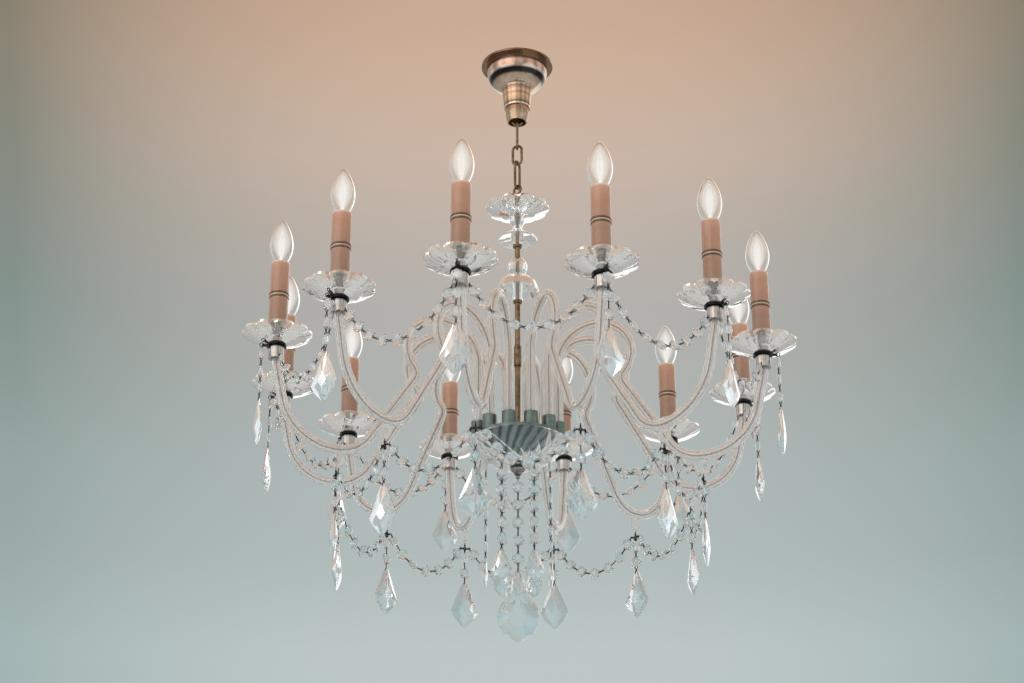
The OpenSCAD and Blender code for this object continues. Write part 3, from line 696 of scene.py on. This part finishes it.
def arm_line(bottom, top):
    """The arm's middle line in its upright plane, as points (radius, height)."""
    rise_c = (LOOP_X, LOOP_TOP - RISE_R)
    loop_c = (LOOP_X, LOOP_TOP - LOOP_R)
    curl_c = on(loop_c, LOOP_R + CURL_R, -WRAP)
    square = 270 - STRAND
    p = on(curl_c, CURL_R, square)
    q = on(p, STRAND_LENGTH, -STRAND)
    inner_c = on(q, -BOW_INNER, square)
    outer_c = (inner_c[0], inner_c[1] - BOW_INNER + BOW_OUTER)
    lean_p = on(outer_c, BOW_OUTER, -LEAN)
    lean = math.radians(LEAN)
    length = (CUP_R - lean_p[0] - LEAN_R * (1 - math.cos(lean))) / math.sin(lean)
    end_c = on(on(lean_p, length, 90 - LEAN), -LEAN_R, -LEAN)
    points = [(SOCKET_R, bottom + (rise_c[1] - bottom) * f) for f in (0.0, 0.2, 0.4, 0.6, 0.8)]
    points += arc(rise_c, RISE_R, 180, 90)
    points += arc(loop_c, LOOP_R, 90, -WRAP)[1:]
    points += arc(curl_c, CURL_R, 180 - WRAP, square, 9)[1:]
    points += [on(p, STRAND_LENGTH * f, -STRAND) for f in (0.25, 0.5, 0.75)]
    points += arc(inner_c, BOW_INNER, square, 270)
    points += arc(outer_c, BOW_OUTER, 270, 360 - LEAN)[1:]
    points += arc(end_c, LEAN_R, -LEAN, 0, 3)
    points.append((CUP_R, top))
    return points


def frames_along(points):
    """Each point with its in-plane normal."""
    out = []
    for i, p in enumerate(points):
        a, b = points[max(i - 1, 0)], points[min(i + 1, len(points) - 1)]
        dx, dz = b[0] - a[0], b[1] - a[1]
        length = math.hypot(dx, dz)
        out.append((p, (-dz / length, dx / length)))
    return out


def beside(p, n, reach, a):
    """The point at the distance reach and the angle a from the line's point p with the normal n."""
    out = reach * math.cos(a)
    return (p[0] + out * n[0], reach * math.sin(a), p[1] + out * n[1])


def tube_rings(points, radius, around):
    angles = [2 * math.pi * j / around for j in range(around)]
    return [[beside(p, n, radius, a) for a in angles] for p, n in frames_along(points)]


def arm_tube():
    """Hollow glass tube: its outside, its bore and its two end faces."""
    around = 28
    line = arm_line(PLATE_Z + 2, -6)
    outside = tube_rings(line, TUBE_R, around)
    bore = tube_rings(line, TUBE_BORE_R, around)
    verts = [p for r in outside + bore for p in r]
    faces = []
    m = len(line)
    for i in range(m - 1):
        for j in range(around):
            k = (j + 1) % around
            a, b = i * around, (i + 1) * around
            faces.append([a + j, b + j, b + k, a + k])
            c, d = (m + i) * around, (m + i + 1) * around
            faces.append([c + j, c + k, d + k, d + j])
    for end in (0, m - 1):
        a = len(verts)
        c = a + around
        verts += outside[end] + bore[end]
        for j in range(around):
            k = (j + 1) % around
            f = [a + j, a + k, c + k, c + j]
            faces.append(f if end == 0 else f[::-1])
    return verts, faces


def wire_pair():
    """Two strands twisted round each other, whole from the plate to the candle."""
    offset, wire, lay, step = 0.62, 0.6, 16, 2.5
    line = arm_line(PLATE_Z - 8, SLEEVE_Z - 4)
    dense = []
    for a, b in zip(line, line[1:]):
        steps = max(1, int(math.dist(a, b) / step))
        dense += [(a[0] + (b[0] - a[0]) * s / steps, a[1] + (b[1] - a[1]) * s / steps) for s in range(steps)]
    dense.append(line[-1])
    placed = frames_along(dense)
    strands = []
    for phase in (0.0, math.pi):
        along = 0.0
        centre = []
        for i, (p, n) in enumerate(placed):
            if i:
                along += math.dist(p, placed[i - 1][0])
            centre.append(beside(p, n, offset, phase + along * 2 * math.pi / lay))
        strands.append(rod(centre, wire, 6))
    return strands


TUBE = arm_tube()
EYELET = torus(EYELET_R, EYELET_WIRE, 32, 14)
STRANDS = wire_pair()
wires = Shape()
for k in range(ARMS):
    number = f"{k + 1:02d}"
    arm = Shape()
    arm.add(*TUBE, at_arm(k))
    arm.add(*EYELET, at_arm(k) @ move(EYELET_X, 0, EYELET_Z))
    arm.make(f"arm_{number}_glass", "arm", "arm_glass", True, [f"arm_{number}"])
    for strand in STRANDS:
        wires.add(*strand, at_arm(k))
wires.make("arm_wire_pairs", "wire", "wire_sheath", True, ["arm_wires"])


# Glass dishes and bells.

def scallop(a, count):
    """0 at the middle of each of the count scallops round the rim and 1 in the notches between them."""
    return 1 - abs(math.cos(a * count / 2)) ** 0.6


def petal_dish(d, hub, hole, depth, wall):
    """Dish whose rim is cut to ten petals, each cupped a little."""
    petals, cut, cupping = 10, d * 0.045, depth * 0.07
    profile = [
        (hole / 2, 0), (hub / 2, 0), (d * 0.28, depth * 0.24), (d * 0.42, depth * 0.56),
        (d / 2, depth - wall), (d / 2 - 0.4, depth - 0.6), (d / 2 - 1.5, depth),
        (d * 0.41, depth * 0.80), (d * 0.27, depth * 0.46), (hub / 2 - 1, wall + 1), (hole / 2, wall + 1),
    ]

    def petal(i, a, r, z):
        share = max(0.0, (r - d * 0.13) / (d * 0.37))
        lift = cupping * (1 - abs(math.cos(a * petals / 2))) * share
        return r - cut * scallop(a, petals) * share ** 2, z - lift if z > 0.5 else z, a

    return revolve(profile, 60, petal)


BOBECHE = petal_dish(d=100, hub=26, hole=12.6, depth=20, wall=4)
dishes = Shape()
for k in range(ARMS):
    dishes.add(*BOBECHE, at_arm(k) @ move(CUP_R, 0, DISH_Z) @ turn(rng.uniform(0, 36)))
dishes.make("bobeche_dishes", "dish", "crystal", False, ["bobeches"])

top = Shape()
top.add(*petal_dish(d=97, hub=26, hole=8.6, depth=16, wall=4), move(0, 0, CUP_Z + TOP_DISH_Z))
top.make("top_dish_glass", "dish", "crystal", False, ["top_dish"])


def bell(name, node, profile, inner, outer, cut, z):
    """Turned glass whose rim is cut to eight scallops between the radii inner and outer."""
    def cut_rim(i, a, r, z):
        share = max(0.0, (r - inner) / (outer - inner))
        return r - cut * scallop(a, 8) * share, z, a

    glass_bell = Shape()
    glass_bell.add(*revolve(profile, 40, cut_rim), move(0, 0, CUP_Z + z))
    glass_bell.make(name, "dish", "crystal", False, [node])


bell("bell_dish_glass", "bell_dish", [
    (STEM_HOLE_R, 0), (8, 0), (9, 12), (18, 10.3), (29, 8), (30, 11), (21, 16.2), (12, 22), (7, 26),
    (7, 32), (11, 38), (11, 47), (8, 50), (STEM_HOLE_R, 50),
], inner=11, outer=30, cut=1.6, z=UPPER_BELL_Z)

ball_arc = [math.radians(a) for a in range(-50, 51, 20)]
ball = [(BALL_R * math.cos(a), BALL_CENTRE + BALL_R * math.sin(a)) for a in ball_arc]
bell("stem_ball_glass", "stem_ball", [
    (STEM_HOLE_R, 0), (8, 0), (8.9, 37.8), (13.4, 34.2), (25.6, 25.2), (30.7, 14.9), (32, 18),
    (27.8, 29.7), (16, 39.6), (8.9, 45), *ball, (STEM_HOLE_R, 68),
], inner=16, outer=32, cut=1.8, z=LOWER_BELL_Z)


# Fluted bowl under the plate.

def bowl():
    flutes, levels = 18, 14
    r_out = ((BOWL_D / 2) ** 2 + BOWL_DEPTH ** 2) / (2 * BOWL_DEPTH)
    centre = BOWL_Z + r_out - BOWL_DEPTH

    def level(ball_r, z):
        return (max(math.sqrt(max(0.0, ball_r ** 2 - (z - centre) ** 2)), BOWL_HOLE_R), z)

    steps = range(levels + 1)
    outer = [level(r_out, BOWL_Z - BOWL_DEPTH + BOWL_DEPTH * i / levels) for i in steps]
    inner = [level(r_out - BOWL_WALL, BOWL_Z - (BOWL_DEPTH - BOWL_WALL) * i / levels) for i in steps]

    def flute(i, a, r, z):
        """Cuts and twists the flutes under the outer rim, and leaves the rim and the inside round."""
        if i >= levels:
            return r, z, a
        share = min(1.0, r / (BOWL_D / 2))
        twist = 1.1 * (1 - share)
        cut = 1.5 * (1 - abs(math.cos(a * flutes / 2)) ** 0.7) * min(1.0, share * 2.2)
        return max(BOWL_HOLE_R, r - cut * 0.7), z + cut * 0.7, a + twist

    return revolve(outer + inner, flutes * 8, flute)


bowl_shape = Shape()
bowl_shape.add(*bowl(), move(0, 0, CUP_Z))
bowl_shape.make("hub_bowl_glass", "smoky", "smoky_glass", True, ["hub_bowl"])


# Candle bulbs.

def bulb_radius(z):
    widest, neck = BULB_H * 0.4, BULB_D * 0.26
    if z < widest:
        return BULB_D / 2 - (BULB_D / 2 - neck) * ((widest - z) / widest) ** 2
    return BULB_D / 2 * max(0.0, 1 - ((z - widest) / (BULB_H - widest)) ** 1.7) ** 0.75


def bulb_glass():
    """Closed shell of one wall's thickness, with next to no radius at its two poles."""
    steps, pole, foot = 26, 0.05, 0.2
    heights = [BULB_H * i / steps for i in range(steps)]
    out = [(bulb_radius(z), 1 + z * (BULB_H - 1) / BULB_H) for z in heights]
    out[0] = (bulb_radius(0), foot)
    inside = [
        (max(pole, r - BULB_WALL), z if i else z + BULB_WALL)
        for i, (r, z) in enumerate(out) if r > BULB_WALL + 0.3
    ]
    tip = [(pole, BULB_H - 0.02), (pole, BULB_H - BULB_WALL)]
    return revolve([(pole, foot)] + out + tip + inside[::-1] + [(pole, foot + BULB_WALL)], 36)


def egg(r, low, high):
    """Pointed oval between two heights."""
    around, steps, pole = 20, 12, 0.02
    shares = [i / steps for i in range(1, steps)]
    middle = [(r * math.sin(math.pi * f ** 1.15) ** 0.8, low + (high - low) * f) for f in shares]
    profile = [(pole, low)] + middle + [(pole, high)]
    m = len(profile)
    verts = []
    for j in range(around):
        a = 2 * math.pi * j / around
        verts += [(out * math.cos(a), out * math.sin(a), z) for out, z in profile]
    faces = []
    for j in range(around):
        k = (j + 1) % around
        for i in range(m - 1):
            faces.append([j * m + i, k * m + i, k * m + i + 1, j * m + i + 1])
    return verts, faces


def bulb_cap():
    """Screw cap with six turns of thread."""
    thread = [(6.7, -21), (6.7, -19)]
    for i in range(6):
        thread += [(6.2, -18 + i * 3), (6.7, -16.6 + i * 3)]
    return revolve([(0.1, -21)] + thread + [(6.2, 0.1), (0.1, 0.1)], 24)


def filaments():
    """Four bent threads round a glass foot."""
    rods = []
    for i in range(4):
        a = math.radians(90 * i + 45)
        x, y = 3.2 * math.cos(a), 3.2 * math.sin(a)
        rods.append(rod([(x * 0.8, y * 0.8, 13), (x, y, 26), (x * 0.8, y * 0.8, 40)], 0.65, 8))
    rods.append(rod([(0, 0, 1), (0, 0, 12)], [3.0, 1.4], 12))
    return rods


BULB_PIECES = [
    ("bulb_envelopes", "bulb", "bulb_glass", [bulb_glass()]),
    ("bulb_filaments", "filament", "bulb_glass", filaments()),
    ("bulb_inner_glow", "glow_1", "bulb_glass", [egg(6.0, 6, 54)]),
    ("bulb_middle_glow", "glow_2", "bulb_glass", [egg(10.0, 3, 61)]),
    ("bulb_outer_glow", "glow_3", "bulb_glass", [egg(13.5, 2, 66)]),
    ("bulb_caps", "nickel", "dark_nickel", [bulb_cap()]),
]
bulb_places = [at_arm(k) @ move(CUP_R, 0, BULB_Z) @ turn(rng.uniform(0, 60)) for k in range(ARMS)]
for name, look, slot, meshes in BULB_PIECES:
    pieces = Shape()
    for here in bulb_places:
        for made in meshes:
            pieces.add(*made, here)
    pieces.make(name, look, slot, True, ["bulbs"] if name == "bulb_envelopes" else ())


# Garlands.

def hang_constant(h, sag):
    """The constant of the hanging line that sags so much between two ends at -h and h."""
    lo, hi = h / 6, h * 6
    for _ in range(40):
        m = (lo + hi) / 2
        if m * (math.cosh(h / m) - 1) > sag:
            lo = m
        else:
            hi = m
    return (lo + hi) / 2


def garland(beads, pins, r, z, end, sag, count):
    """Bead strings that hang from arm to arm at the radius r and the height z.

    Each has count beads, ends the distance end before its arm, and sags by sag.
    """
    end_gap = 0.6
    half = math.radians(STEP / 2)
    h = r * math.sin(half) - end
    a = hang_constant(h, sag)
    reach = a * math.sinh(h / a)
    pitch = 2 * reach / count
    for k in range(ARMS):
        middle = turn(arm_angle(k) + STEP / 2) @ move(r * math.cos(half), 0, z + CUP_Z) @ turn(90)

        def at(s):
            """The frame at the length s along the line from its lowest point."""
            x = a * math.asinh(s / a)
            slope = math.degrees(math.atan(s / a))
            return middle @ move(x, 0, a * (math.cosh(x / a) - math.cosh(h / a))) @ turn(-slope, "Y")

        for i in range(count):
            lean = rng.uniform(-38, 38) if 0 < i < count - 1 else rng.uniform(-12, 12)
            beads.add(*BEAD, at((i + 0.5) * pitch - reach) @ turn(lean, "X"))
        for i in range(count + 1):
            gap = pitch - BEAD_D
            shift = 0
            if i in (0, count):
                gap = gap / 2 - end_gap
                shift = (1 if i == 0 else -1) * (gap + end_gap) / 2
            pin_at = at(i * pitch - reach) @ move(shift, 0, 0) @ turn(rng.uniform(20, 70), "X")
            add_pin(pins, pin_at, max(1.0, gap))


def cross():
    """Dark metal cross whose four round-ended bars are dished round a hole."""
    parts = [torus(2.1, 0.9, 20, 8)]
    for i in range(4):
        verts, faces = rod([(1.6, 0, 0), (3.4, 0, 0), (5.0, 0, 0), (6.4, 0, 0)], [1.3, 1.0, 1.6, 0.9], 8)
        parts.append(([turn(90 * i, "Y") @ Vector(v) for v in verts], faces))
    parts.append(rod([(0, 0, 5.4), (0, 0, 7.2), (0, 0, 9.4)], [0.7, 0.6, 0.6], 8))
    return parts


upper_beads, upper_pins = Shape(), Shape()
garland(upper_beads, upper_pins, r=CUP_R, z=-16, end=11.6, sag=60, count=9)
upper_beads.make("upper_garland_beads", "crystal", "crystal", False, ["upper_garland"])
upper_pins.make("upper_garland_pins", "black_pin", "dark_nickel", True)

lower_beads, lower_pins = Shape(), Shape()
garland(lower_beads, lower_pins, r=EYELET_X, z=CROSS_Z, end=7.1, sag=47, count=7)
CROSS = cross()
for k in range(ARMS):
    for part in CROSS:
        lower_pins.add(*part, at_arm(k) @ move(EYELET_X, 0, CROSS_Z) @ turn(90))
lower_beads.make("lower_garland_beads", "crystal", "crystal", False, ["lower_garland"])
lower_pins.make("lower_garland_pins", "black_pin", "dark_nickel", True)


# Hanging strings and drops.

def down_string(beads, pins, place, count, pitch, first_turn=0.0):
    """Beads in a row downwards from the place's origin, with a pin below each."""
    for i in range(count):
        twist = first_turn if i == 0 else rng.uniform(-22, 22)
        beads.add(*BEAD, place @ move(0, 0, -BEAD_D / 2 - i * pitch) @ turn(twist))
        middle = -(i + 1) * pitch + (pitch - BEAD_D) / 2
        pin_at = place @ move(0, 0, middle) @ turn(rng.uniform(20, 70)) @ turn(90, "Y")
        add_pin(pins, pin_at, pitch - BEAD_D)


def swinging(body, node, place, count, pitch, drop, first_turn=0.0):
    """Pendant that swings: a hook ring, a string of beads and a drop."""
    beads, pins = Shape(), Shape()
    start = -HOOK_R - HOOK_WIRE / 2 - HOOK_GAP
    pins.add(*torus(HOOK_R, HOOK_WIRE / 2, 24, 8), place @ turn(90))
    down_string(beads, pins, place @ move(0, 0, start), count, pitch, first_turn)
    beads.add(*drop, place @ move(0, 0, start - count * pitch) @ turn(rng.uniform(-10, 10)))
    beads.make(body + "_crystals", "crystal", "crystal", False, [node], body)
    pins.make(body + "_pins", "black_pin", "dark_nickel", True, (), body)


for k in range(ARMS):
    number = f"{k + 1:02d}"
    place = at_arm(k) @ move(CUP_HOOK_X, 0, CUP_HOOK_Z) @ turn(90)
    swinging("upper_drop_" + number, "upper_pendant_" + number, place, 3, UPPER_PITCH, KITE)
    place = at_arm(k) @ move(EYELET_X, 0, CROSS_Z - HOOK_R) @ turn(90)
    swinging("lower_drop_" + number, "lower_pendant_" + number, place, 2, PITCH, KITE, 90)

swinging("centre_drop", "centre_pendant", move(0, 0, CUP_Z + CENTRE_HOOK_Z), 5, CENTRE_PITCH, leaf())

hub_beads, hub_pins = Shape(), Shape()
string_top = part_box("hub_strings")[1].z / MM
for k in range(HUB_STRINGS):
    place = turn(360 / HUB_STRINGS * k) @ move(HUB_STRING_R, 0, string_top) @ turn(90)
    down_string(hub_beads, hub_pins, place, HUB_STRING_BEADS, PITCH)
    drop_at = place @ move(0, 0, -HUB_STRING_BEADS * PITCH) @ turn(rng.uniform(-12, 12))
    hub_beads.add(*SMALL_KITE, drop_at)
hub_beads.make("hub_string_crystals", "crystal", "crystal", False, ["hub_strings"])
hub_pins.make("hub_string_pins", "black_pin", "dark_nickel", True)


# Construction nodes that show as they are.

FINISH = {
    "ceiling_bracket": "steel",
    "hanging_loop": "brass",
    "canopy_cup": "chrome",
    "canopy_collar": "collar",
    "chain_link_1": "brass",
    "chain_link_2": "brass",
    "chain_link_3": "brass",
    "stem_rod": "brass",
    "receiver_plate": "socket",
    "hub_finial": "nickel",
    "arm_cups": "cup",
    "candle_sleeves": "sleeve",
    "lamp_holders": "holder",
}
for name, look in FINISH.items():
    mesh = nodes[name].data
    mesh.materials.clear()
    mesh.materials.append(LOOKS[look])


# Room, lamps and camera, in metres.

FLOOR_REACH = 40.0
FLOOR_Z = -2.6
AIM = (0, 0, -0.5)
FOCAL_PIXELS = 2000
PICTURE_PIXELS = 1024
SENSOR = 36
CAMERA_PLACE = (0, -2.69717, -1.65841)
CAMERA_RIGHT = (0.999994, 0.003456, -0.000827)
CAMERA_UP = (0.002149, -0.402836, 0.915270)
CAMERA_FORWARD = (-0.002830, 0.915266, 0.402841)


def floor():
    steps = 12
    row = steps + 1
    marks = [-FLOOR_REACH + 2 * FLOOR_REACH * i / steps for i in range(row)]
    verts = [(x, y, FLOOR_Z) for y in marks for x in marks]
    faces = [
        [j * row + i, j * row + i + 1, (j + 1) * row + i + 1, (j + 1) * row + i]
        for j in range(steps) for i in range(steps)
    ]
    mesh = bpy.data.meshes.new("floor")
    mesh.from_pydata(verts, [], faces)
    material, tree = new_material("pale_floor")
    shader = tree.add("ShaderNodeBsdfPrincipled", {"Roughness": 0.8})
    tones = [(NOISE_LOW, srgb(228, 231, 229)), (NOISE_HIGH, srgb(236, 238, 236))]
    tree.link(tree.ramp(tree.noise(1.5, 4.0), tones), shader.inputs["Base Color"])
    tree.show(shader)
    mesh.materials.append(material)
    o = bpy.data.objects.new("floor", mesh)
    scene.collection.objects.link(o)


def stops_by_sine(*rows):
    """Ramp stops from rows of a viewing height's sine and a display colour."""
    return [((sine + 1) / 2, srgb(red, green, blue)) for sine, red, green, blue in rows]


def world():
    """Soft even light, and for the camera, mirrors and glass the tones of the photographed room."""
    room = bpy.data.worlds.new("room")
    scene.world = room
    tree = Tree(room)
    x, y, z = tree.split(tree.add("ShaderNodeTexCoord").outputs["Generated"])
    up = tree.remap(z, -1.0, 1.0, 0.0, 1.0)

    middle = tree.ramp(up, stops_by_sine(
        (-1.0, 150, 156, 152), (-0.25, 150, 160, 160), (0.12, 184, 196, 194), (0.255, 190, 200, 199),
        (0.30, 178, 189, 187), (0.34, 176, 185, 184), (0.376, 176, 181, 178), (0.413, 180, 177, 174),
        (0.449, 189, 179, 170), (0.484, 203, 182, 167), (0.518, 205, 178, 157), (0.545, 202, 171, 149),
        (0.8, 196, 160, 136), (1.0, 176, 146, 126),
    ))
    sides = tree.ramp(up, stops_by_sine(
        (-1.0, 120, 126, 124), (-0.25, 124, 134, 132), (0.12, 160, 176, 176), (0.255, 163, 181, 181),
        (0.30, 156, 170, 167), (0.34, 150, 166, 162), (0.376, 141, 155, 151), (0.413, 133, 147, 142),
        (0.449, 134, 142, 134), (0.484, 135, 137, 126), (0.518, 139, 133, 118), (0.545, 136, 127, 111),
        (0.8, 130, 118, 102), (1.0, 120, 108, 94),
    ))
    sideways = tree.math("MULTIPLY", tree.math("ABSOLUTE", x), 1 / 0.243, True)
    backdrop = tree.mix("MIX", tree.math("POWER", sideways, 2.5), middle, sides)

    # Bright panes for glass and metal, all round but not behind the chandelier.
    stripes = tree.math("SINE", tree.math("MULTIPLY", tree.math("ARCTAN2", x, y), 9.0))
    panes = tree.math("GREATER_THAN", stripes, -0.2)
    low_edge = tree.remap(z, -0.45, -0.3, 0.0, 1.0)
    high_edge = tree.remap(z, 0.42, 0.62, 1.0, 0.0)
    not_behind = tree.remap(y, 0.5, 0.8, 1.0, 0.0)
    rows = tree.math("MULTIPLY", low_edge, high_edge)
    window = tree.math("MULTIPLY", tree.math("MULTIPLY", panes, not_behind), rows)
    deep = tree.ramp(up, stops_by_sine(
        (-1.0, 84, 90, 92), (-0.45, 98, 106, 110), (-0.1, 146, 158, 160), (0.1, 174, 186, 186),
        (0.3, 182, 192, 190), (0.5, 206, 186, 168), (0.75, 206, 176, 152), (1.0, 168, 140, 120),
    ))
    lit = tree.mix("MIX", window, deep, (0.87, 0.91, 0.93, 1.0))
    bent = tree.mix("MIX", tree.remap(y, 0.78, 0.9, 0.0, 1.0), lit, backdrop)

    seen = tree.add("ShaderNodeBackground", {"Strength": 1.0})
    tree.link(backdrop, seen.inputs["Color"])
    glassy = tree.add("ShaderNodeBackground", {"Strength": 1.0})
    tree.link(bent, glassy.inputs["Color"])
    even = tree.add("ShaderNodeBackground", {"Strength": 0.5, "Color": (1.0, 0.97, 0.94, 1.0)})
    path = tree.add("ShaderNodeLightPath")
    shiny = tree.math("MAXIMUM", path.outputs["Is Glossy Ray"], path.outputs["Is Transmission Ray"])
    unseen = tree.blend(shiny, even, glassy)
    tree.show(tree.blend(path.outputs["Is Camera Ray"], unseen, seen), "ShaderNodeOutputWorld")


def lamp(name, place, size, watts, colour):
    """Soft round lamp that points at the chandelier and doesn't show to the camera or through glass."""
    data = bpy.data.lights.new(name, "AREA")
    data.shape = "DISK"
    data.size = size
    data.energy = watts
    data.color = colour
    o = bpy.data.objects.new(name, data)
    o.location = place
    o.rotation_euler = (Vector(AIM) - Vector(place)).to_track_quat("-Z", "Y").to_euler()
    o.visible_camera = False
    o.visible_transmission = False
    scene.collection.objects.link(o)


floor()
world()
lamp("key_lamp", (-1.9, -2.4, 0.4), 4.0, 34, (1.0, 0.95, 0.90))
lamp("fill_lamp", (2.2, -1.6, -1.4), 3.4, 18, (0.90, 0.97, 1.0))
lamp("back_lamp", (0.8, 2.4, 0.3), 3.4, 20, (1.0, 0.96, 0.92))

camera_data = bpy.data.cameras.new("camera")
camera_data.sensor_width = SENSOR
camera_data.lens = FOCAL_PIXELS / PICTURE_PIXELS * SENSOR
camera_data.clip_end = 50
camera = bpy.data.objects.new("camera", camera_data)
axes = Matrix((CAMERA_RIGHT, CAMERA_UP, -Vector(CAMERA_FORWARD))).transposed().to_4x4()
camera.matrix_world = Matrix.Translation(CAMERA_PLACE) @ axes
scene.collection.objects.link(camera)
bpy.context.scene.camera = camera

scene.view_settings.view_transform = "Standard"
scene.cycles.max_bounces = 20
scene.cycles.transmission_bounces = 20
scene.cycles.glossy_bounces = 6
scene.cycles.transparent_max_bounces = 24
scene.cycles.caustics_reflective = False
scene.cycles.caustics_refractive = False
